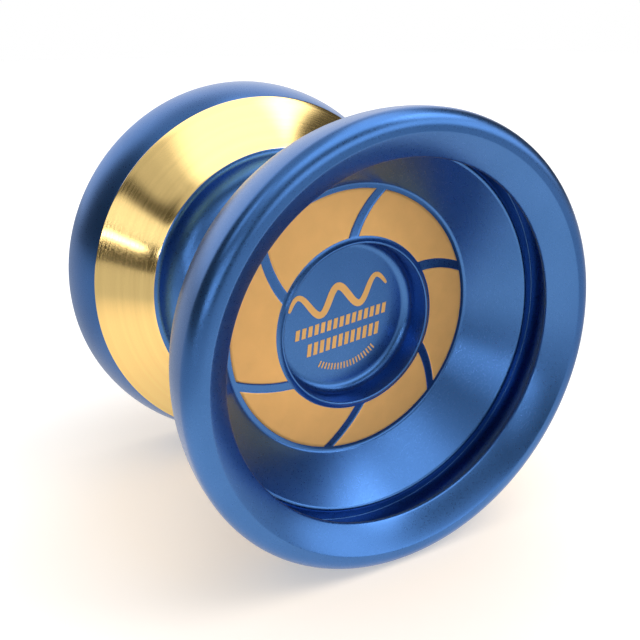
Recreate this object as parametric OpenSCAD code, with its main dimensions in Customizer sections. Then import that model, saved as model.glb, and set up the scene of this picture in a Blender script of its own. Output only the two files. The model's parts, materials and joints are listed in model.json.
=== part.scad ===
// Two-piece bearing yo-yo. Both halves screw onto one threaded axle, a ball bearing sits on the
// posts between them, and a ring-shaped pad in each half grips the string.
// The spin axis is Y, the front half is at -Y, +Z is up and the origin is the centre of the bearing.
// Each outline is drawn as [radius, height], where height is the distance from the middle plane.

/* [Body] */
// Diameter over the rims
rim_d = 56; // [55:0.5:58]
// Width from rest face to rest face
body_w = 49; // [48:0.5:50]
// Gap between the two halves where the string runs
string_gap = 4.4; // [4.0:0.1:4.5]

/* [Rim] */
// Radius of the rounded lip at the outer edge
lip_round = 2; // [1.6:0.1:2.2]
// Radius of the gentle curve across the rim band
band_round = 17; // [14:1:20]
// How far the rim band reaches back from the widest circle
band_w = 7.4; // [6.5:0.1:7.8]
// Width of the flat ring that the yo-yo rests on when it lies on its side
rest_w = 0.45; // [0.3:0.05:0.8]

/* [Outer face] */
// Inner diameter of the bevel inside the lip
bevel_d = 45; // [44.4:0.2:45.4]
// Height lost across the bevel
bevel_drop = 2.65; // [2.3:0.05:2.8]
// Diameter where the dish wall meets the undercut groove
dish_d = 45.4; // [44.8:0.2:45.6]
// Height of the dish wall at that diameter
dish_h = 17.3; // [17:0.1:17.8]
// How far the undercut groove reaches outward behind the bevel
undercut = 2.5; // [2.2:0.1:2.8]
// Diameter where the slope of the dish wall meets the level of the plated ring
foot_d = 36; // [35.8:0.1:36.4]
// Outer diameter of the plated ring
ring_d = 34.8; // [34.2:0.1:35.2]
// Height of the plated ring at its outer edge
ring_h = 10.8; // [10.6:0.1:11.4]

/* [Cup] */
// Inner diameter of the cup at its lip
cup_d = 21.2; // [20.6:0.1:21.6]
// Height of the crest of the cup's lip
cup_lip_h = 11.9; // [11.8:0.05:12.1]
// Height of the cup's floor
cup_floor_h = 7.9; // [7.4:0.1:8.6]
// Radius of the cup's floor fillet
cup_fillet = 1.4; // [1:0.1:2.2]

/* [String side] */
// Diameter of the crease at the foot of the plated cone
crease_d = 39.8; // [39.2:0.1:40.2]
// Height of the crease
crease_h = 9.45; // [9.2:0.05:9.7]
// Outer diameter of the response pads
pad_d = 19.05; // [18.5:0.05:19.1]
// Thickness of the response pads
pad_t = 1; // [0.8:0.1:1.2]

/* [Axle] */
// Length of the threaded axle
axle_len = 10; // [9:0.5:10.5]
// Width across the flats of the hexagon socket in each end of the axle
socket_af = 2; // [1.5:0.1:2]

/* [Hidden] */
$fn = 96;

// Radii and heights of the body
rim_r = rim_d / 2;
half_w = body_w / 2;
gap_h = string_gap / 2;
widest_h = half_w - lip_round;
rest_out_r = rim_r - lip_round;
rest_in_r = rest_out_r - rest_w;
bevel_r = bevel_d / 2;
bevel_h = half_w - bevel_drop;
bevel_round = 0.5;
bevel_sag = 0.08;
bevel_slope = atan2(bevel_drop, rest_in_r - bevel_r);
bevel_centre = [bevel_r + bevel_round, bevel_h - bevel_round * tan(45 - bevel_slope / 2)];
bevel_start = bevel_centre + bevel_round * [-sin(bevel_slope), cos(bevel_slope)];

// Ring plane, foot fillet, dish wall and the groove behind its rolled edge
ring_r = ring_d / 2;
ring_sag = -0.1;
ring_slope = 10;
dish_round = 0.5;
dish_centre = [dish_d / 2 + dish_round, dish_h - dish_round];
foot_round = 0.6;
foot_reach = dish_centre - [foot_d / 2, ring_h];
dish_slope = atan2(foot_reach.y, foot_reach.x) + asin(dish_round / norm(foot_reach));
foot_centre = [foot_d / 2 - foot_round * tan(dish_slope / 2), ring_h + foot_round];
groove_round = 0.15;
groove_sink = 0.9;
groove_corner_r = bevel_r + undercut - groove_round;
groove_low = dish_h - groove_sink;
groove_high = bevel_centre.y - bevel_round;

// Cup and its raised lip, with a hollow ramp from the lip down to the ring
cup_r = cup_d / 2;
cup_draft = 0.05;
lip_edge_round = 0.2;
lip_edge_slope = 42;
lip_edge_centre = [cup_r + lip_edge_round, cup_lip_h - lip_edge_round];
ramp_round = 1.6;
ramp_centre = lip_edge_centre + (lip_edge_round + ramp_round) * [sin(lip_edge_slope), cos(lip_edge_slope)];
ramp_foot = ramp_centre - ramp_round * [sin(ring_slope), cos(ring_slope)];

// String side, from the rim band over the plated cone and the inner cone to the gap
band_angle = asin(band_w / band_round);
cone_out = [rim_r - band_round + band_round * cos(band_angle), widest_h - band_w];
cone_in = [crease_d / 2, crease_h];
cone_sag = -0.15;
cone_reach = cone_out - cone_in;
crease_slope = atan2(cone_reach.y, cone_reach.x) - 2 * atan(2 * cone_sag / norm(cone_reach));
crease_round = 1.4;
crease_centre = cone_in + crease_round * [-sin(crease_slope), cos(crease_slope)];
fillet_round = 4.4;
fillet_centre = crease_centre - [0, crease_round + fillet_round];
inner_slope = 40;
inner_start = fillet_centre + fillet_round * [-sin(inner_slope), cos(inner_slope)];
gap_lip_r = 10.1;
gap_foot_r = gap_lip_r + 0.35;
gap_foot_h = inner_start.y - (inner_start.x - gap_foot_r) * tan(inner_slope);
gap_lip_sag = 0.08;
gap_edge = 0.12;

// Response pad and its recess
pad_out_r = pad_d / 2;
pad_in_r = 7.25;
pad_sink = 0.05;
pad_edge = 0.12;
recess_play = 0.025;
recess_in_r = pad_in_r - recess_play;
recess_out_r = pad_out_r + recess_play;
recess_h = gap_h + pad_sink + pad_t;

// Size C ball bearing: 1/4 x 1/2 x 3/16 inch with eight 1/16 inch balls
inch = 25.4;
bearing_bore_r = inch / 8;
bearing_r = inch / 4;
bearing_h = inch * 3 / 32;
ball_r = inch / 32;
ball_count = 8;
pitch_r = (bearing_bore_r + bearing_r) / 2;
race_gap = 0.01;
race_r = 0.82;
inner_land_r = 4.25;
outer_land_r = 5.25;
bearing_edge = 0.15;

// Shields and snap rings in the ends of the outer ring
shield_in_r = 4.45;
shield_t = 0.15;
shield_seat_h = 1.95;
shield_seat_r = 5.75;
shield_play = 0.02;
snap_t = 0.2;
snap_w = 0.35;
snap_groove = 0.1;
snap_opening = 1.6;

// Ball cage with a pocket for each ball, open on the back side
cage_in_r = 4.42;
cage_out_r = 5.1;
cage_pocket_r = 0.86;
cage_low = -1.35;
cage_high = 0.45;

// Seat of the bearing in each half, with the play between the bearing and its surroundings
post_r = bearing_bore_r - race_gap;
post_end_h = 0.15;
post_edge = 0.2;
shoulder_r = 3.95;
well_play = 0.25;
well_r = bearing_r + well_play;
well_floor_play = 0.35;
well_wall_play = 0.1;

// M4 thread as rings, which leave the same crests and roots as the screw thread
pitch = 0.7;
axle_crest_r = 1.98;
axle_root_r = 1.57;
axle_crest_w = 0.09;
tap_crest_r = 1.65;
tap_root_r = 2.03;
tap_crest_w = 0.17;
tap_rings = 7;
tap_bottom_h = 5.4;
drill_tip = 0.6;
flank = tan(30);
axle_end = 0.12;
socket_depth = 2.2;

// Points along an arc from angle a0 to a1
function arc(centre, r, a0, a1, steps = 8) =
    [for (i = [0:steps]) let (a = a0 + (a1 - a0) * i / steps) centre + r * [cos(a), sin(a)]];

// Points along the arc from p to q whose middle stands sag to the left of the straight line
function bow(p, q, sag, steps = 8) =
    let (chord = norm(q - p),
         along = (q - p) / chord,
         left = [-along.y, along.x],
         half_angle = 2 * atan(2 * sag / chord),
         r = chord / 2 / sin(half_angle))
    [for (i = [0:steps]) let (a = half_angle * (1 - 2 * i / steps))
        p + along * r * (sin(half_angle) - sin(a)) + left * r * (cos(a) - cos(half_angle))];

// One thread ring at height h, from its foot on radius base_r to its crest on crest_r
function thread_ring(h, base_r, crest_r, crest_w) =
    let (foot = crest_w / 2 + abs(crest_r - base_r) * flank)
    [[base_r, h - foot], [crest_r, h - crest_w / 2], [crest_r, h + crest_w / 2], [base_r, h + foot]];

// Thread rings at the heights given, in that order
function thread(heights, base_r, crest_r, crest_w) =
    [for (h = heights) each thread_ring(h, base_r, crest_r, crest_w)];

function mirrored(points) = [for (i = [len(points) - 1:-1:0]) [points[i].x, -points[i].y]];

// Leaves out each point that repeats the one before it, where two curves meet
function joined(points) =
    [for (i = [0:len(points) - 1]) if (i == 0 || norm(points[i] - points[i - 1]) > 1e-6) points[i]];

// Turns an outline into a solid of revolution about the spin axis
module lathe(outline) {
    rotate([-90, 0, 0]) rotate_extrude() polygon(joined(outline));
}

// Mirrors a back piece to the front side
module front_side() {
    mirror([0, 1, 0]) children();
}

// Cup floor, cup wall and the lip that stands above the plated ring
cup_outline = concat(
    [[0, cup_floor_h]],
    arc([cup_r - cup_draft - cup_fillet, cup_floor_h + cup_fillet], cup_fillet, -90, 0),
    arc(lip_edge_centre, lip_edge_round, 180, 90 - lip_edge_slope, 4));

// Ramp, plated ring and dish wall
dish_outline = concat(
    arc(ramp_centre, ramp_round, 270 - lip_edge_slope, 270 - ring_slope, 5),
    bow(ramp_foot, [ring_r, ring_h], ring_sag),
    arc(foot_centre, foot_round, 270, 270 + dish_slope, 5),
    arc(dish_centre, dish_round, 90 + dish_slope, 0, 6));

// Undercut groove, bevel and rest face
bevel_outline = concat(
    [[dish_centre.x + dish_round, groove_low]],
    arc([groove_corner_r, groove_low + groove_round], groove_round, -90, 0, 4),
    arc([groove_corner_r, groove_high - groove_round], groove_round, 0, 90, 4),
    arc(bevel_centre, bevel_round, 270, 90 + bevel_slope, 6),
    bow(bevel_start, [rest_in_r, half_w], bevel_sag));

// Lip, rim band and plated cone
rim_outline = concat(
    arc([rest_out_r, widest_h], lip_round, 90, 0, 12),
    arc([rim_r - band_round, widest_h], band_round, 0, -band_angle),
    bow(cone_out, cone_in, cone_sag));

// Rounded crease, fillet, inner cone, gap face and pad recess
string_side_outline = concat(
    arc(crease_centre, crease_round, crease_slope - 90, -90, 5),
    arc(fillet_centre, fillet_round, 90, 90 + inner_slope),
    bow([gap_foot_r, gap_foot_h], [gap_lip_r, gap_h], gap_lip_sag, 5),
    [[recess_out_r + gap_edge, gap_h], [recess_out_r, gap_h + gap_edge]],
    [[recess_out_r, recess_h], [recess_in_r, recess_h]],
    [[recess_in_r, bearing_h + well_wall_play], [well_r, bearing_h + well_wall_play]]);

// Bearing well, shoulder, post and tapped hole
seat_outline = concat(
    [[well_r, bearing_h + well_floor_play], [shoulder_r, bearing_h + well_floor_play]],
    [[shoulder_r, bearing_h], [post_r, bearing_h]],
    [[post_r, post_end_h + post_edge], [post_r - post_edge, post_end_h]],
    [[tap_root_r + post_edge, post_end_h], [tap_root_r, post_end_h + post_edge]],
    thread([for (i = [1:tap_rings]) i * pitch], tap_root_r, tap_crest_r, tap_crest_w),
    [[tap_root_r, tap_bottom_h], [0, tap_bottom_h + drill_tip]]);

module half_back() {
    face = concat(cup_outline, dish_outline, bevel_outline);
    color("royalblue") lathe(concat(face, rim_outline, string_side_outline, seat_outline));
}

module half_front() {
    front_side() half_back();
}

module response_pad_back() {
    face_h = gap_h + pad_sink;
    color("whitesmoke") lathe([
        [pad_in_r, face_h + pad_t], [pad_out_r, face_h + pad_t],
        [pad_out_r, face_h + pad_edge], [pad_out_r - pad_edge, face_h],
        [pad_in_r + pad_edge, face_h], [pad_in_r, face_h + pad_edge]]);
}

module response_pad_front() {
    front_side() response_pad_back();
}

module axle() {
    end_h = axle_len / 2;
    crest_count = floor((end_h - axle_end) / pitch);
    crests = [for (i = [0:crest_count - 1]) (i + 0.5) * pitch];
    upper = thread(crests, axle_root_r, axle_crest_r, axle_crest_w);
    end = [[axle_root_r, end_h - axle_end], [axle_root_r - axle_end, end_h]];
    color("dimgray") difference() {
        lathe(concat([[0, -end_h]], mirrored(concat(upper, end)), upper, end, [[0, end_h]]));
        for (side = [-1, 1])
            rotate([-90 * side, 0, 0]) translate([0, 0, end_h - socket_depth])
                cylinder(h = socket_depth + 1, r = socket_af / sqrt(3), $fn = 6);
    }
}

module bearing_inner_ring() {
    groove_r = pitch_r - ball_r - race_gap + race_r;
    groove_angle = acos((groove_r - inner_land_r) / race_r);
    color("silver") lathe(concat(
        [[bearing_bore_r, -bearing_h + bearing_edge], [bearing_bore_r + bearing_edge, -bearing_h]],
        [[inner_land_r, -bearing_h]],
        arc([groove_r, 0], race_r, 180 + groove_angle, 180 - groove_angle, 12),
        [[inner_land_r, bearing_h]],
        [[bearing_bore_r + bearing_edge, bearing_h], [bearing_bore_r, bearing_h - bearing_edge]]));
}

module bearing_outer_ring() {
    groove_r = pitch_r + ball_r + race_gap - race_r;
    groove_angle = acos((outer_land_r - groove_r) / race_r);
    snap_h = shield_seat_h + shield_t;
    snap_r = shield_seat_r + snap_groove;
    seat = [
        [outer_land_r, shield_seat_h], [shield_seat_r, shield_seat_h], [shield_seat_r, snap_h],
        [snap_r, snap_h], [snap_r, snap_h + snap_t], [shield_seat_r, snap_h + snap_t],
        [shield_seat_r, bearing_h], [bearing_r - bearing_edge, bearing_h],
        [bearing_r, bearing_h - bearing_edge]];
    color("silver") lathe(concat(
        mirrored(seat),
        arc([groove_r, 0], race_r, -groove_angle, groove_angle, 12),
        seat));
}

module bearing_cage() {
    color("darkgoldenrod") difference() {
        lathe([
            [cage_in_r, cage_low], [cage_out_r, cage_low],
            [cage_out_r, cage_high], [cage_in_r, cage_high]]);
        for (i = [1:ball_count])
            at_ball(i) sphere(r = cage_pocket_r);
    }
}

// Moves its children to the place of ball i
module at_ball(i) {
    rotate([0, (i - 1) * 360 / ball_count, 0]) translate([0, 0, pitch_r]) children();
}

module ball(i) {
    color("gainsboro") at_ball(i) sphere(r = ball_r);
}

module bearing_shield_back() {
    out_r = shield_seat_r - shield_play;
    color("lightgray") lathe([
        [shield_in_r, shield_seat_h], [out_r, shield_seat_h],
        [out_r, shield_seat_h + shield_t], [shield_in_r, shield_seat_h + shield_t]]);
}

module bearing_shield_front() {
    front_side() bearing_shield_back();
}

module snap_ring_back() {
    low = shield_seat_h + shield_t + shield_play;
    high = shield_seat_h + shield_t + snap_t - shield_play;
    out_r = shield_seat_r + snap_groove - shield_play;
    color("slategray") difference() {
        lathe([[out_r - snap_w, low], [out_r, low], [out_r, high], [out_r - snap_w, high]]);
        translate([-snap_opening / 2, 0, 0]) cube([snap_opening, bearing_h, bearing_r]);
    }
}

module snap_ring_front() {
    front_side() snap_ring_back();
}

half_front();
half_back();
axle();
response_pad_front();
response_pad_back();
bearing_inner_ring();
bearing_outer_ring();
bearing_cage();
bearing_shield_front();
bearing_shield_back();
snap_ring_front();
snap_ring_back();
ball(1);  // ball_1
ball(2);  // ball_2
ball(3);  // ball_3
ball(4);  // ball_4
ball(5);  // ball_5
ball(6);  // ball_6
ball(7);  // ball_7
ball(8);  // ball_8
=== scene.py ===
"""Looks of a bearing yo-yo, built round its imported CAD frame.

Each half is drawn again as one fine turned shell, with small rounds on its edges, a plated ring of
six swept panels in its dish and a polished cone on its string side. A plain printed ornament lies on
each cup floor. Every other CAD node keeps its shape and gets a procedural material.
Outlines are in millimetres, as (radius, height), where height is the distance from the middle plane.
"""
import json
import math

import bmesh
import bpy
from mathutils import Matrix, Vector


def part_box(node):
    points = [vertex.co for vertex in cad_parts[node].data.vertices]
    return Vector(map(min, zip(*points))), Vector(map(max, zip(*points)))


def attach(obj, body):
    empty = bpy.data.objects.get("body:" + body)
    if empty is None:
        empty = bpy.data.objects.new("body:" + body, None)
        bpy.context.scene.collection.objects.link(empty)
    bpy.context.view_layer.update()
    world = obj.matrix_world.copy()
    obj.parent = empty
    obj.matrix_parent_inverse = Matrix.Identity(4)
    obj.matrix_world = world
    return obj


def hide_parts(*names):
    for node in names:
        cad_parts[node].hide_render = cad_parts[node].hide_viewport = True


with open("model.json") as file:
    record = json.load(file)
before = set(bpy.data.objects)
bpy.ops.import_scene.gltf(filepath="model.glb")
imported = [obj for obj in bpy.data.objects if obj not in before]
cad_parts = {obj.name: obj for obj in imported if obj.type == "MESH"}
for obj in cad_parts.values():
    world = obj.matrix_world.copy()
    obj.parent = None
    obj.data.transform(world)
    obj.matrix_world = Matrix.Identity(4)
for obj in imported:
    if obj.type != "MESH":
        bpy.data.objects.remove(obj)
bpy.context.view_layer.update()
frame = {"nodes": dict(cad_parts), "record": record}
MM = 0.001

# Driving sizes of a half, from the frame
half_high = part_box("half_back")[1] / MM
pad_low, pad_high = (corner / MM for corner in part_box("response_pad_back"))
bearing_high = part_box("bearing_outer_ring")[1] / MM
RIM_R = half_high.x
HALF_W = half_high.y
PAD_SINK = 0.05
GAP_H = pad_low.y - PAD_SINK

# Rim: rounded lip, curved band and the flat ring it rests on
LIP_ROUND = 2.0
BAND_ROUND = 17.0
BAND_W = 7.4
REST_W = 0.45
WIDEST_H = HALF_W - LIP_ROUND
BAND_ANGLE = math.degrees(math.asin(BAND_W / BAND_ROUND))

# Outer face, from the bevel inside the lip down to the plated ring
BEVEL_R = 22.5
BEVEL_DROP = 2.65
BEVEL_ROUND = 0.5
BEVEL_SAG = 0.08
UNDERCUT = 2.5
GROOVE_ROUND = 0.15
GROOVE_SINK = 0.9
DISH_R = 22.7
DISH_H = 17.3
DISH_ROUND = 0.5
FOOT_R = 18.0
FOOT_ROUND = 0.6
RING_R = 17.4
RING_H = 10.8
RING_SAG = -0.1
RING_SLOPE = 10

# Cup, its raised lip and the hollow ramp from the lip down to the ring
CUP_R = 10.6
CUP_DRAFT = 0.05
CUP_FILLET = 1.4
CUP_FLOOR_H = 7.9
CUP_LIP_H = 11.9
LIP_EDGE_ROUND = 0.2
LIP_EDGE_SLOPE = 42
RAMP_ROUND = 1.6

# String side: the plated cone, its rounded crease, a fillet and an inner cone down to the gap
CREASE = (19.9, 9.45)
CONE_SAG = -0.15
CREASE_ROUND = 1.4
FILLET_ROUND = 4.4
INNER_SLOPE = 40
GAP_LIP_R = 10.1
GAP_LIP_FOOT = 0.35
GAP_LIP_SAG = 0.08
GAP_EDGE = 0.12

# Pad recess, bearing well and tapped hole
PLAY = 0.025
RECESS_OUT_R = pad_high.x + PLAY
PAD_IN_R = 7.25
RECESS_IN_R = PAD_IN_R - PLAY
WELL_R = bearing_high.x + 0.25
WELL_H = bearing_high.y + 0.35
WELL_WALL_H = bearing_high.y + 0.1
SHOULDER_R = 3.95
POST_R = 3.165
POST_END_H = 0.15
POST_EDGE = 0.2
TAP_CREST_R = 1.65
TAP_ROOT_R = 2.03
TAP_CREST_W = 0.17
TAP_PITCH = 0.7
TAP_RINGS = 7
TAP_BOTTOM_H = 5.4
DRILL_TIP = 0.6

# Small rounds that soften every turned corner
EDGE_REACH = 0.12
HOLLOW_REACH = 0.03
EDGE_STEPS = 4
SHARPEST_SMOOTH = math.radians(16)

# Plated ring: panels between swept gaps, standing a hair above the metal
PANELS = 6
PANEL_IN_R = 11.45
PANEL_T = 0.04
PANEL_WALL = 0.04
PANEL_MARGIN = 0.06
GAP_W = 1.5
GAP_START = math.radians(-3.5)
GAP_SWEEP = math.radians(16)
GAP_COLUMNS = 4
PANEL_COLUMNS = 50

# Ornament on the cup floor. A row is: first bar's left, lowest and highest v, slant, number of bars.
ORNAMENT_T = 0.03
ORNAMENT_SINK = 0.02
ORNAMENT_TILT = math.radians(7)
WAVE_ENDS = (-7.6, 7.2)
WAVE_V = 2.7
WAVE_SWING = 1.6
WAVES = 2.5
WAVE_W = 1.0
WAVE_TIP = 0.3
BAR_W = 0.6
BAR_PITCH = 0.95
BAR_ROWS = ((-7.3, -1.4, 0.0, 0.35, 15), (-5.9, -4.1, -2.4, 0.4, 12))
TICK_R = 7.0
TICK_W = 0.2
TICK_LENGTH = 0.9
TICK_STEP = 4
TICKS = range(-9, 10)

# Camera and floor
CAMERA_AZIMUTH = math.radians(-29.76)
CAMERA_ELEVATION = math.radians(20.02)
CAMERA_DISTANCE = 113.2
CAMERA_TARGET = Vector((0.38, -1.35, -2.69))
CAMERA_LENS = 45.7
CAMERA_SENSOR = 36.0
FLOOR_Z = -RIM_R
FLOOR_HALF = 1500.0

# Room light, as patches: azimuth, half width, lowest and highest elevation, softness, strength.
# Azimuth 0 is straight in front of the object, 90 is to its right.
ROOM_LIGHT = 0.08
LIGHTS = {
    "ceiling": (0, 181, 52, 91, 8, 0.6),
    "ceiling_front": (50, 105, 55, 91, 9, 1.4),
    "key": (60, 18, 34, 57, 5, 3.4),
    "window_sill": (-50, 16, 9, 11.5, 1, 7.0),
    "window_low": (-48, 22, 14, 27, 2, 1.2),
    "window_high": (-35, 24, 35, 50, 3, 0.55),
    "window_side": (-84, 12, 36, 60, 4, 1.5),
    "front_fill": (38, 40, 6, 30, 6, 1.9),
    "back_wall": (170, 45, 2, 48, 8, 1.2),
}

# Table: white, with painted warm light from the gold near the object, painted shade far off for
# reflections and a painted glow near the object for reflections. Reaches in millimetres.
# painted warm light from the gold, near the object
TABLE_PAINTED_WARM_LIGHT = (0.85, 0.72, 0.58)
TABLE_WHITE = (0.85, 0.85, 0.85)
# painted shade, seen only in reflections
TABLE_PAINTED_SHADE = (0.3, 0.3, 0.3)
PAINTED_GLOW_REACH = (28.0, 56.0)
PAINTED_LIGHT_CENTRE = (-20.0, -40.0, FLOOR_Z)
PAINTED_LIGHT_FADE = (45.0, 95.0)
TABLE_GLOW = 0.36
# painted glow near the object, seen only in reflections
TABLE_PAINTED_NEAR_GLOW = 0.5


def arc(centre, radius, start, end, steps=8):
    """Points along an arc, from angle start to angle end in degrees."""
    angles = [math.radians(start + (end - start) * i / steps) for i in range(steps + 1)]
    return [(centre[0] + radius * math.cos(a), centre[1] + radius * math.sin(a)) for a in angles]


def bow(p, q, sag, steps=8):
    """Points along the arc from p to q whose middle stands sag to the left of the straight line."""
    p, q = Vector(p), Vector(q)
    chord = (q - p).length
    along = (q - p) / chord
    left = Vector((-along.y, along.x))
    half = 2 * math.atan(2 * sag / chord)
    radius = chord / 2 / math.sin(half)
    points = []
    for i in range(steps + 1):
        a = half * (1 - 2 * i / steps)
        side = radius * (math.cos(a) - math.cos(half))
        points.append(tuple(p + along * radius * (math.sin(half) - math.sin(a)) + left * side))
    return points


def minus(p, q):
    return (p[0] - q[0], p[1] - q[1])


def thread_rings():
    """Crests of the tapped hole, one ring per pitch."""
    foot = TAP_CREST_W / 2 + (TAP_ROOT_R - TAP_CREST_R) * math.tan(math.radians(30))
    points = []
    for i in range(1, TAP_RINGS + 1):
        h = i * TAP_PITCH
        points += [(TAP_ROOT_R, h - foot), (TAP_CREST_R, h - TAP_CREST_W / 2)]
        points += [(TAP_CREST_R, h + TAP_CREST_W / 2), (TAP_ROOT_R, h + foot)]
    return points


def direction(angle):
    """Unit step at an angle in degrees."""
    return Vector((math.cos(math.radians(angle)), math.sin(math.radians(angle))))


def cup_and_ring():
    """The cup out to the start of the plated panels, and the panels' own stretch."""
    wall_r = CUP_R - CUP_DRAFT
    cup = [(r, CUP_FLOOR_H) for r in (0, 2, 4, 6, 8)]
    cup += arc((wall_r - CUP_FILLET, CUP_FLOOR_H + CUP_FILLET), CUP_FILLET, -90, 0, 12)
    edge_centre = Vector((CUP_R + LIP_EDGE_ROUND, CUP_LIP_H - LIP_EDGE_ROUND))
    cup += arc(edge_centre, LIP_EDGE_ROUND, 180, 90 - LIP_EDGE_SLOPE, 8)
    ramp_centre = edge_centre + direction(90 - LIP_EDGE_SLOPE) * (LIP_EDGE_ROUND + RAMP_ROUND)
    ramp = arc(ramp_centre, RAMP_ROUND, 270 - LIP_EDGE_SLOPE, 270 - RING_SLOPE, 14)
    cup += [p for p in ramp if p[0] < PANEL_IN_R - PANEL_MARGIN]
    ring = [p for p in ramp if p[0] > PANEL_IN_R]
    ring += bow(ring[-1], (RING_R, RING_H), RING_SAG, 12)[1:]
    panel_in, panel_out = inset(ring[0], ring[1]), inset(ring[-1], ring[-2])
    panel = panel_in + ring[1:-1] + panel_out[::-1]
    return cup + [ring[0]], panel, ring[-1]


def inset(corner, towards):
    """Top and foot of a panel's edge, set in from a corner of the ring."""
    step = Vector(minus(towards, corner)).normalized()
    start = Vector(corner) + step * PANEL_MARGIN
    return [tuple(start), tuple(start + step * PANEL_WALL)]


def dish_and_lip():
    """From the foot of the dish wall over the groove and the lip to the start of the cone."""
    dish_centre = Vector((DISH_R + DISH_ROUND, DISH_H - DISH_ROUND))
    reach = dish_centre - Vector((FOOT_R, RING_H))
    slope = math.degrees(math.atan2(reach.y, reach.x) + math.asin(DISH_ROUND / reach.length))
    foot_centre = (FOOT_R - FOOT_ROUND * math.tan(math.radians(slope / 2)), RING_H + FOOT_ROUND)
    face = arc(foot_centre, FOOT_ROUND, 270, 270 + slope, 8)
    face += arc(dish_centre, DISH_ROUND, 90 + slope, 0, 10)

    rest_r = RIM_R - LIP_ROUND
    bevel_slope = math.degrees(math.atan2(BEVEL_DROP, rest_r - REST_W - BEVEL_R))
    bevel_drop = BEVEL_DROP + BEVEL_ROUND * math.tan(math.radians(45 - bevel_slope / 2))
    bevel_centre = Vector((BEVEL_R + BEVEL_ROUND, HALF_W - bevel_drop))
    corner_r = BEVEL_R + UNDERCUT - GROOVE_ROUND
    low, high = DISH_H - GROOVE_SINK, bevel_centre.y - BEVEL_ROUND
    face += [(DISH_R + 2 * DISH_ROUND, low)]
    face += arc((corner_r, low + GROOVE_ROUND), GROOVE_ROUND, -90, 0, 6)
    face += arc((corner_r, high - GROOVE_ROUND), GROOVE_ROUND, 0, 90, 6)
    face += arc(bevel_centre, BEVEL_ROUND, 270, 90 + bevel_slope, 10)
    face += bow(face[-1], (rest_r - REST_W, HALF_W), BEVEL_SAG, 8)[1:]
    face += arc((rest_r, WIDEST_H), LIP_ROUND, 90, 0, 20)
    face += arc((RIM_R - BAND_ROUND, WIDEST_H), BAND_ROUND, 0, -BAND_ANGLE, 12)[1:]
    return face


def cone_and_crease(start):
    """The plated cone from its outer edge, and the round of the crease at its foot."""
    reach = Vector(minus(start, CREASE))
    slope = math.degrees(math.atan2(reach.y, reach.x) - 2 * math.atan(2 * CONE_SAG / reach.length))
    centre = Vector(CREASE) - direction(slope - 90) * CREASE_ROUND
    return bow(start, CREASE, CONE_SAG, 12), arc(centre, CREASE_ROUND, slope - 90, -90, 10)


def string_side(start):
    """From the flat below the crease to the end of the tapped hole."""
    side = arc((start[0], start[1] - FILLET_ROUND), FILLET_ROUND, 90, 90 + INNER_SLOPE, 14)
    foot_r = GAP_LIP_R + GAP_LIP_FOOT
    foot_h = side[-1][1] - (side[-1][0] - foot_r) * math.tan(math.radians(INNER_SLOPE))
    side += bow((foot_r, foot_h), (GAP_LIP_R, GAP_H), GAP_LIP_SAG, 6)
    side += [(RECESS_OUT_R + GAP_EDGE, GAP_H), (RECESS_OUT_R, GAP_H + GAP_EDGE)]
    side += [(RECESS_OUT_R, pad_high.y), (RECESS_IN_R, pad_high.y), (RECESS_IN_R, WELL_WALL_H)]
    side += [(WELL_R, WELL_WALL_H), (WELL_R, WELL_H), (SHOULDER_R, WELL_H)]
    side += [(SHOULDER_R, bearing_high.y), (POST_R, bearing_high.y)]
    side += [(POST_R, POST_END_H + POST_EDGE), (POST_R - POST_EDGE, POST_END_H)]
    side += [(TAP_ROOT_R + POST_EDGE, POST_END_H), (TAP_ROOT_R, POST_END_H + POST_EDGE)]
    return side + thread_rings() + [(TAP_ROOT_R, TAP_BOTTOM_H), (0, TAP_BOTTOM_H + DRILL_TIP)]


def half_stretches():
    """The section of a half, from the middle of the cup round to the end of its tapped hole."""
    cup, panel, ring_end = cup_and_ring()
    face = dish_and_lip()
    cone, crease = cone_and_crease(face[-1])
    return [
        ("body", cup),
        ("panel", panel),
        ("body", [ring_end] + face),
        ("cone", cone + crease[1:3]),
        ("body", crease[2:] + string_side(crease[-1])[1:]),
    ]


def outline():
    """The stretches as one list of points, and the zone between each point and the next."""
    points, zones = [], []
    for zone, stretch in half_stretches():
        for point in stretch:
            if points and (Vector(point) - Vector(points[-1])).length < 1e-6:
                continue
            if points:
                zones.append("body" if point == stretch[0] else zone)
            points.append(point)
    return soften(points, zones)


def soften(points, zones):
    """Rounds each corner that turns by more than a curve's own steps do."""
    new_points, new_zones = [points[0]], []
    for i in range(1, len(points) - 1):
        before, here, after = (Vector(points[k]) for k in (i - 1, i, i + 1))
        arriving, leaving = here - before, after - here
        if arriving.angle(leaving) < SHARPEST_SMOOTH:
            new_points.append(points[i])
            new_zones.append(zones[i - 1])
            continue
        hollow = arriving.x * leaving.y > arriving.y * leaving.x
        reach = HOLLOW_REACH if hollow else EDGE_REACH
        start = here - arriving.normalized() * min(reach, 0.4 * arriving.length)
        end = here + leaving.normalized() * min(reach, 0.4 * leaving.length)
        for k in range(EDGE_STEPS + 1):
            t = k / EDGE_STEPS
            bend = start * (1 - t) ** 2 + here * 2 * t * (1 - t) + end * t ** 2
            new_points.append(tuple(bend))
            new_zones.append(zones[i - 1] if t <= 0.5 else zones[i])
    new_points.append(points[-1])
    new_zones.append(zones[-1])
    return new_points, new_zones


def column_kinds():
    return (["gap"] * GAP_COLUMNS + ["panel"] * PANEL_COLUMNS) * PANELS


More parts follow.
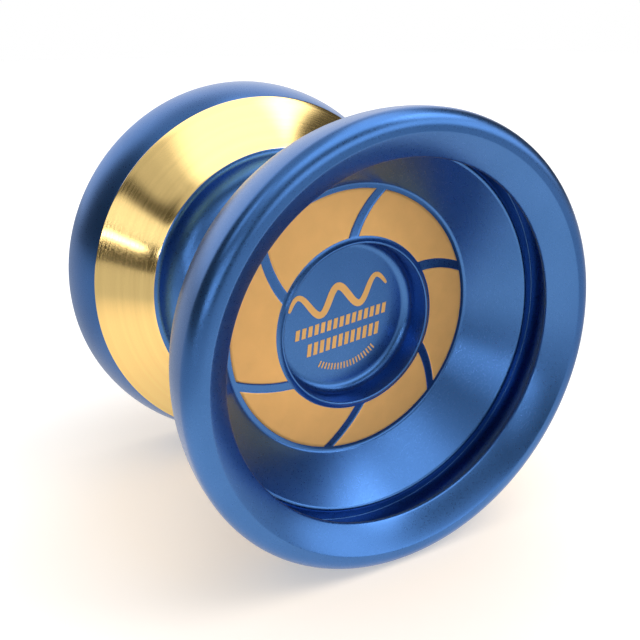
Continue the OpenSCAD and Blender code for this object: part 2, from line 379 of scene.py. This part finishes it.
def column_angle(column, radius):
    """Angle of a mesh column at a radius: across the plated ring the columns follow the swept gaps."""
    r = min(max(radius, PANEL_IN_R), RING_R)
    sector, i = divmod(column, GAP_COLUMNS + PANEL_COLUMNS)
    half_gap = GAP_W / 2 / r
    wall = PANEL_WALL / r
    if i <= GAP_COLUMNS:
        angle = half_gap * (2 * i / GAP_COLUMNS - 1)
    else:
        share = (i - GAP_COLUMNS - 1) / (PANEL_COLUMNS - 2)
        angle = half_gap + wall + share * (2 * math.pi / PANELS - 2 * half_gap - 2 * wall)
    sweep = GAP_START + GAP_SWEEP * (r - PANEL_IN_R) / (RING_R - PANEL_IN_R)
    return sector * 2 * math.pi / PANELS + angle + sweep


def place(u, v, height):
    """A point of the front half: u to the right and v up as seen from in front of its face."""
    return Vector((u, -height, v)) * MM


def half_shell(name, slots):
    """One half as a mesh. slots gives each zone's place in the material list."""
    points, zones = outline()
    kinds = column_kinds()
    columns = len(kinds)
    mesh = bmesh.new()
    rows = []
    for i, (r, h) in enumerate(points):
        if r < 1e-6:
            rows.append([mesh.verts.new(place(0, 0, h))] * columns)
            continue
        row_raised = 0 < i < len(zones) and zones[i - 1] == zones[i] == "panel"
        row = []
        for k in range(columns):
            raised = row_raised and kinds[k - 1] == kinds[k] == "panel"
            a = column_angle(k, r)
            row.append(mesh.verts.new(place(r * math.sin(a), r * math.cos(a), h + PANEL_T * raised)))
        rows.append(row)
    for i, zone in enumerate(zones):
        for k, kind in enumerate(kinds):
            n = (k + 1) % columns
            corners = [rows[i][k], rows[i][n], rows[i + 1][n], rows[i + 1][k]]
            corners = list(dict.fromkeys(corners))
            face = mesh.faces.new(corners)
            face.smooth = True
            face.material_index = slots["body" if kind == "gap" and zone == "panel" else zone]
    bmesh.ops.recalc_face_normals(mesh, faces=mesh.faces)
    return finish_mesh(name, mesh)


def finish_mesh(name, mesh):
    data = bpy.data.meshes.new(name)
    mesh.to_mesh(data)
    mesh.free()
    piece = bpy.data.objects.new(name, data)
    bpy.context.scene.collection.objects.link(piece)
    return piece


def bar(u0, u1, v0, v1, slant):
    """A four-sided bar whose top is shifted by slant."""
    return [(u0, v0), (u1, v0), (u1 + slant, v1), (u0 + slant, v1)]


def wave(steps=90):
    """A wavy ribbon that thins out towards both ends."""
    u0, u1 = WAVE_ENDS
    rate = 2 * math.pi * WAVES / (u1 - u0)
    top, bottom = [], []
    for i in range(steps + 1):
        t = i / steps
        u = u0 + (u1 - u0) * t
        middle = Vector((u, WAVE_V + WAVE_SWING * math.sin(rate * (u - u0))))
        half = WAVE_W / 2 * (WAVE_TIP + (1 - WAVE_TIP) * math.sin(math.pi * t) ** 0.5)
        across = Vector((-WAVE_SWING * rate * math.cos(rate * (u - u0)), 1.0)).normalized() * half
        top.append(tuple(middle + across))
        bottom.append(tuple(middle - across))
    return bottom + top[::-1]


def arc_tick(angle):
    """A short radial tick, with its angle in degrees from straight down."""
    out = direction(angle - 90)
    side = Vector((-out.y, out.x)) * TICK_W / 2
    inner, outer = out * (TICK_R - TICK_LENGTH / 2), out * (TICK_R + TICK_LENGTH / 2)
    return [tuple(inner - side), tuple(outer - side), tuple(outer + side), tuple(inner + side)]


def ornament_shapes():
    """A wave, two rows of slanted bars and an arc of ticks."""
    shapes = [wave()]
    for left, low, high, slant, count in BAR_ROWS:
        starts = [left + BAR_PITCH * i for i in range(count)]
        shapes += [bar(u, u + BAR_W, low, high, slant) for u in starts]
    return shapes + [arc_tick(TICK_STEP * i) for i in TICKS]


def ornament(name):
    """The printed shapes, as thin closed plates on the floor of the front cup."""
    turn = Matrix.Rotation(ORNAMENT_TILT, 2)
    mesh = bmesh.new()
    for shape in ornament_shapes():
        turned = [turn @ Vector(p) for p in shape]
        low = [mesh.verts.new(place(p.x, p.y, CUP_FLOOR_H - ORNAMENT_SINK)) for p in turned]
        high = [mesh.verts.new(place(p.x, p.y, CUP_FLOOR_H + ORNAMENT_T)) for p in turned]
        mesh.faces.new(low[::-1])
        mesh.faces.new(high)
        for i in range(len(low)):
            n = (i + 1) % len(low)
            mesh.faces.new([low[i], low[n], high[n], high[i]])
    bmesh.ops.triangulate(mesh, faces=[f for f in mesh.faces if len(f.verts) > 4])
    bmesh.ops.recalc_face_normals(mesh, faces=mesh.faces)
    return finish_mesh(name, mesh)


class Nodes:
    """A node tree, with short calls that add nodes to it."""

    def __init__(self, tree):
        self.tree = tree

    def node(self, kind, inputs=None, **settings):
        made = self.tree.nodes.new(kind)
        for key, value in settings.items():
            setattr(made, key, value)
        for key, value in (inputs or {}).items():
            self.put(made, key, value)
        return made

    def put(self, node, key, value):
        if isinstance(value, bpy.types.NodeSocket):
            self.tree.links.new(value, node.inputs[key])
        else:
            node.inputs[key].default_value = value

    def math(self, operation, *values):
        return self.node("ShaderNodeMath", dict(enumerate(values)), operation=operation).outputs[0]

    def vector(self, operation, *vectors, result="Vector"):
        made = self.node("ShaderNodeVectorMath", dict(enumerate(vectors)), operation=operation)
        return made.outputs[result]

    def dot(self, vector, other):
        return self.vector("DOT_PRODUCT", vector, other, result="Value")

    def mix(self, share, first, second, kind):
        """Goes from the first to the second as share goes from 0 to 1. Kind is FLOAT or RGBA."""
        a, b, result = {"FLOAT": (2, 3, 0), "RGBA": (6, 7, 2)}[kind]
        made = self.node("ShaderNodeMix", {0: share, a: first, b: second}, data_type=kind)
        return made.outputs[result]

    def span(self, value, low, high, start=0.3, end=0.7, kind="LINEAR"):
        """Maps the range from start to end onto the range from low to high."""
        inputs = {"Value": value, "From Min": start, "From Max": end, "To Min": low, "To Max": high}
        return self.node("ShaderNodeMapRange", inputs, interpolation_type=kind).outputs[0]


class Recipe(Nodes):
    """One material's node tree."""

    def __init__(self, name, metallic, roughness):
        self.material = bpy.data.materials.new(name)
        self.material.use_nodes = True
        super().__init__(self.material.node_tree)
        self.shader = self.tree.nodes["Principled BSDF"]
        self.set("Metallic", metallic)
        self.set("Roughness", roughness)
        where = self.node("ShaderNodeTexCoord").outputs["Object"]
        self.place = self.vector("MULTIPLY", where, (1 / MM, 1 / MM, 1 / MM))

    def set(self, key, value):
        self.put(self.shader, key, value)

    def noise(self, scale, detail=2.0):
        """Noise with a number of cells per millimetre."""
        inputs = {"Vector": self.place, "Scale": scale, "Detail": detail}
        return self.node("ShaderNodeTexNoise", inputs).outputs["Fac"]

    def rings(self, scale, detail=3.0):
        """Noise that only changes with the distance from the spin axis."""
        flat = self.vector("MULTIPLY", self.place, (1.0, 0.0, 1.0))
        radius = self.vector("LENGTH", flat, result="Value")
        inputs = {"W": radius, "Scale": scale, "Detail": detail}
        return self.node("ShaderNodeTexNoise", inputs, noise_dimensions="1D").outputs["Fac"]

    def blend(self, value, first, second, start=0.3, end=0.7):
        """Goes from the first colour to the second as value goes from start to end."""
        ramp = self.node("ShaderNodeValToRGB", {"Fac": value})
        for element, position, colour in zip(ramp.color_ramp.elements, (start, end), (first, second)):
            element.position = position
            element.color = (*colour, 1.0)
        return ramp.outputs["Color"]

    def distance(self, point):
        """Distance from a point, in millimetres."""
        return self.vector("DISTANCE", self.place, point, result="Value")

    def bump(self, height, depth):
        """Bump of a depth in millimetres."""
        inputs = {"Height": height, "Distance": depth * MM, "Strength": 1.0}
        return self.node("ShaderNodeBump", inputs).outputs["Normal"]


def satin_blue():
    """Bead-blasted blue anodised aluminium."""
    r = Recipe("satin_blue", 1.0, 0.3)
    grain = r.noise(5.0, 3.0)
    r.set("Base Color", r.blend(r.noise(0.15), (0.054, 0.160, 0.42), (0.060, 0.172, 0.45)))
    r.set("Roughness", r.span(grain, 0.26, 0.34))
    r.set("Coat Weight", 0.12)
    r.set("Coat Roughness", 0.25)
    r.set("Normal", r.bump(grain, 0.002))
    return r.material


def polished_gold():
    """Gold plate with the fine turning lines of a lathe."""
    r = Recipe("polished_gold", 1.0, 0.1)
    lines = r.rings(9.0)
    bands = r.rings(1.3, 1.0)
    r.set("Base Color", r.blend(bands, (0.88, 0.63, 0.25), (0.93, 0.67, 0.27)))
    r.set("Roughness", r.span(lines, 0.07, 0.14))
    r.set("Anisotropic", 0.7)
    r.set("Tangent", r.node("ShaderNodeTangent", direction_type="RADIAL", axis="Y").outputs["Tangent"])
    r.set("Normal", r.bump(lines, 0.0012))
    return r.material


def matte_gold():
    """Etched gold print with a fine grain."""
    r = Recipe("matte_gold", 0.45, 0.5)
    grain = r.noise(7.0, 4.0)
    tone = r.noise(0.35, 3.0)
    r.set("Base Color", r.blend(tone, (0.89, 0.51, 0.17), (0.96, 0.55, 0.185)))
    r.set("Roughness", r.span(grain, 0.44, 0.57))
    r.set("Normal", r.bump(grain, 0.006))
    return r.material


def silicone():
    r = Recipe("silicone", 0.0, 0.6)
    grain = r.noise(4.0, 4.0)
    r.set("Base Color", r.blend(r.noise(0.5), (0.74, 0.74, 0.69), (0.80, 0.80, 0.76)))
    r.set("Roughness", r.span(grain, 0.5, 0.68))
    r.set("Subsurface Weight", 0.2)
    r.set("Subsurface Scale", 0.5 * MM)
    r.set("Normal", r.bump(grain, 0.01))
    return r.material


def turned_metal(name, colour, roughness, depth):
    """Bare metal with turning lines round the spin axis."""
    r = Recipe(name, 1.0, roughness)
    lines = r.rings(7.0)
    darker = tuple(0.9 * c for c in colour)
    r.set("Base Color", r.blend(r.noise(0.8), darker, colour))
    r.set("Roughness", r.span(lines, 0.8 * roughness, 1.3 * roughness))
    r.set("Normal", r.bump(lines, depth))
    return r.material


def light_patch(n, where, elevation, azimuth, half_width, low, high, soft, strength):
    """A patch of light on the dome, with soft edges."""
    a, edge = math.radians(azimuth), math.radians(soft)
    to_right = n.dot(where, (math.cos(a), math.sin(a), 0.0))
    ahead = n.dot(where, (math.sin(a), -math.cos(a), 0.0))
    turn = n.math("ABSOLUTE", n.math("ARCTAN2", to_right, ahead))
    masks = []
    for value, limit, inside in ((turn, half_width, -1), (elevation, high, -1), (elevation, low, 1)):
        at = math.radians(limit)
        masks.append(n.span(value, 0.0, 1.0, at - inside * edge, at + inside * edge, "SMOOTHSTEP"))
    product = n.math("MULTIPLY", masks[0], n.math("MULTIPLY", masks[1], masks[2]))
    return n.math("MULTIPLY", product, strength)


def studio_world():
    """A dim room with soft patches of light, which the camera itself sees as pure white."""
    world = bpy.data.worlds.new("studio")
    bpy.context.scene.world = world
    world.use_nodes = True
    n = Nodes(world.node_tree)
    where = n.node("ShaderNodeTexCoord").outputs["Generated"]
    elevation = n.math("ARCSINE", n.dot(where, (0.0, 0.0, 1.0)))
    total = ROOM_LIGHT
    for patch in LIGHTS.values():
        total = n.math("ADD", light_patch(n, where, elevation, *patch), total)
    is_camera = n.node("ShaderNodeLightPath").outputs["Is Camera Ray"]
    shown = n.math("MAXIMUM", total, is_camera)
    white = (1.0, 1.0, 1.0, 1.0)
    room = n.node("ShaderNodeBackground", {"Color": white, "Strength": shown})
    n.put(world.node_tree.nodes["World Output"], "Surface", room.outputs[0])


def make_floor():
    """A white table with painted warm light near the object. Reflections see painted shade as it
    darkens away from the front left, and a painted glow near the object.
    """
    mesh = bmesh.new()
    corners = [(x * FLOOR_HALF, y * FLOOR_HALF) for x, y in ((-1, -1), (1, -1), (1, 1), (-1, 1))]
    mesh.faces.new([mesh.verts.new(Vector((x, y, FLOOR_Z)) * MM) for x, y in corners])
    floor = finish_mesh("floor", mesh)
    r = Recipe("white_table", 0.0, 0.6)
    r.set("Specular IOR Level", 0.0)
    is_camera = r.node("ShaderNodeLightPath").outputs["Is Camera Ray"]
    # painted warm light from the gold near the object, as the camera sees the table
    painted_warm_share = r.span(r.distance(Vector((0.0, 0.0, FLOOR_Z))), 0.0, 1.0, *PAINTED_GLOW_REACH)
    # painted shade far off and painted warm light near the object, both seen only in reflections
    painted_fade_share = r.span(r.distance(PAINTED_LIGHT_CENTRE), 0.0, 1.0, *PAINTED_LIGHT_FADE)
    shown = r.blend(painted_warm_share, TABLE_PAINTED_WARM_LIGHT, TABLE_WHITE, 0.0, 1.0)
    mirrored_painted_light = r.blend(painted_fade_share, TABLE_PAINTED_WARM_LIGHT, TABLE_PAINTED_SHADE, 0.0, 1.0)
    r.set("Base Color", r.mix(is_camera, mirrored_painted_light, shown, "RGBA"))
    # painted glow, stronger near the object, seen only in reflections
    painted_near_glow = r.span(painted_fade_share, TABLE_PAINTED_NEAR_GLOW, TABLE_GLOW, 0.0, 1.0)
    r.set("Emission Color", (1.0, 1.0, 1.0, 1.0))
    r.set("Emission Strength", r.mix(is_camera, painted_near_glow, TABLE_GLOW, "FLOAT"))
    floor.data.materials.append(r.material)


def make_camera():
    a, e = CAMERA_AZIMUTH, CAMERA_ELEVATION
    back = Vector((math.sin(a) * math.cos(e), -math.cos(a) * math.cos(e), math.sin(e)))
    data = bpy.data.cameras.new("camera")
    data.lens = CAMERA_LENS
    data.sensor_width = CAMERA_SENSOR
    data.clip_start = 0.005
    camera = bpy.data.objects.new("camera", data)
    camera.location = (CAMERA_TARGET + back * CAMERA_DISTANCE) * MM
    camera.rotation_mode = "QUATERNION"
    camera.rotation_quaternion = (-back).to_track_quat("-Z", "Y")
    bpy.context.scene.collection.objects.link(camera)
    bpy.context.scene.camera = camera


blue, gold_cone, gold_print = satin_blue(), polished_gold(), matte_gold()
zone_slots = {"body": 0, "cone": 1, "panel": 2}
for side, turn in (("front", 0), ("back", math.pi)):
    facing = Matrix.Rotation(turn, 4, "Z")
    shell = half_shell("half_" + side + "_shell", zone_slots)
    shell.data.transform(facing)
    for finish in (blue, gold_cone, gold_print):
        shell.data.materials.append(finish)
    weighted = shell.modifiers.new("even_normals", "WEIGHTED_NORMAL")
    weighted.weight = 100
    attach(shell, "spool")
    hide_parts("half_" + side)
    print_piece = ornament("cup_ornament_" + side)
    print_piece.data.transform(facing)
    print_piece.data.materials.append(gold_print)
    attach(print_piece, "spool")

FINISHES = {
    "axle_steel": turned_metal("black_oxide_steel", (0.08, 0.08, 0.085), 0.35, 0.002),
    "silicone": silicone(),
    "bearing_steel": turned_metal("ground_steel", (0.72, 0.72, 0.74), 0.14, 0.0008),
    "cage_brass": turned_metal("plain_brass", (0.72, 0.52, 0.22), 0.25, 0.002),
    "shield_steel": turned_metal("rolled_steel", (0.62, 0.62, 0.63), 0.28, 0.0015),
    "spring_steel": turned_metal("spring_steel", (0.32, 0.33, 0.36), 0.3, 0.001),
}
for part in frame["record"]["subparts"]:
    if part["material_slot"] in FINISHES:
        cad_data = frame["nodes"][part["node"]].data
        cad_data.materials.clear()
        cad_data.materials.append(FINISHES[part["material_slot"]])

studio_world()
make_floor()
make_camera()
bpy.context.scene.view_settings.view_transform = "Standard"
